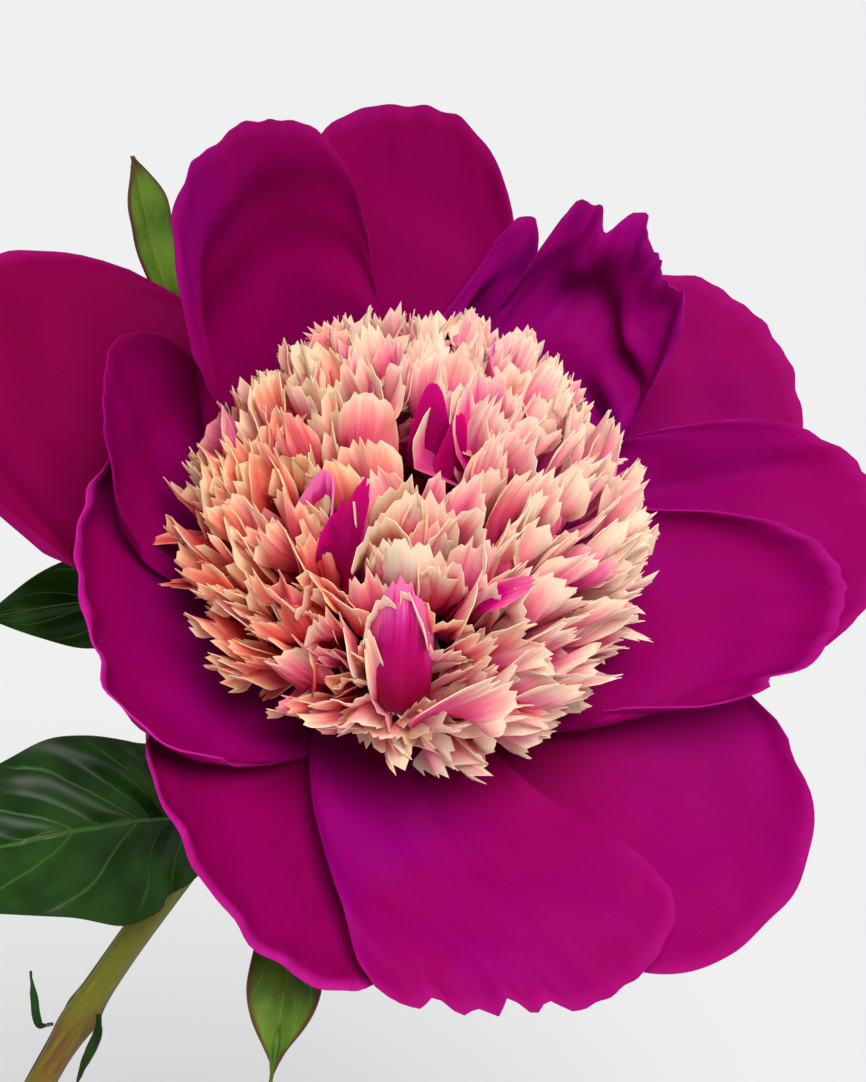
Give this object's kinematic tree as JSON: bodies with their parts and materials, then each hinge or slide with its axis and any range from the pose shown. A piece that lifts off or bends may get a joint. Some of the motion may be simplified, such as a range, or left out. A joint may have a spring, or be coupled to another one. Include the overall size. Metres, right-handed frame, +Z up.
{
  "type": "cut peony in a bud vase",
  "caption": "Single open peony with broad magenta guard petals round a ball of jagged cream and pink petaloids, on a curved leafy stem in a plain white bottle-shaped bud vase.",
  "frame": {"origin": "centre of the vase's flat foot, on the surface that it stands on", "axes": "+Z up along the vase's axis, +X to the side that the bloom leans out to, -Y to the side that the bloom faces"},
  "size_m": [0.2278, 0.1334, 0.3941],
  "materials": {
    "glaze": "gloss",
    "stem": "satin",
    "leaf": "satin",
    "bract": "satin",
    "petal": "matte",
    "petaloid": "matte",
    "heart_petal": "matte"
  },
  "bodies": {
    "root": {"vase": "glaze", "stem": "stem", "receptacle": "bract", "large_leaf": "leaf", "narrow_leaf": "leaf", "shoot_left": "leaf", "shoot_right": "leaf", "bract_upper_left": "bract", "bract_bottom": "bract", "sepal_1": "bract", "sepal_2": "bract", "sepal_3": "bract", "sepal_4": "bract", "sepal_5": "bract", "outer_petal_left": "petal", "outer_petal_top": "petal", "outer_petal_upper_right": "petal", "outer_petal_lower_right": "petal", "outer_petal_lower_left": "petal", "middle_petal_right": "petal", "middle_petal_left": "petal", "inner_petal_upper_left": "petal", "inner_petal_left": "petal", "inner_petal_right": "petal", "inner_petal_bottom": "petal", "frilled_petal_top": "petal", "frilled_petal_upper_right": "petal", "heart_cup_1": "petaloid", "heart_cup_2": "petaloid", "heart_cup_3": "petaloid", "heart_cup_4": "petaloid", "heart_cup_5": "petaloid", "heart_cup_6": "petaloid", "heart_petal_front": "heart_petal", "heart_petal_left": "heart_petal", "heart_petal_back": "heart_petal"}
  },
  "joints": []
}
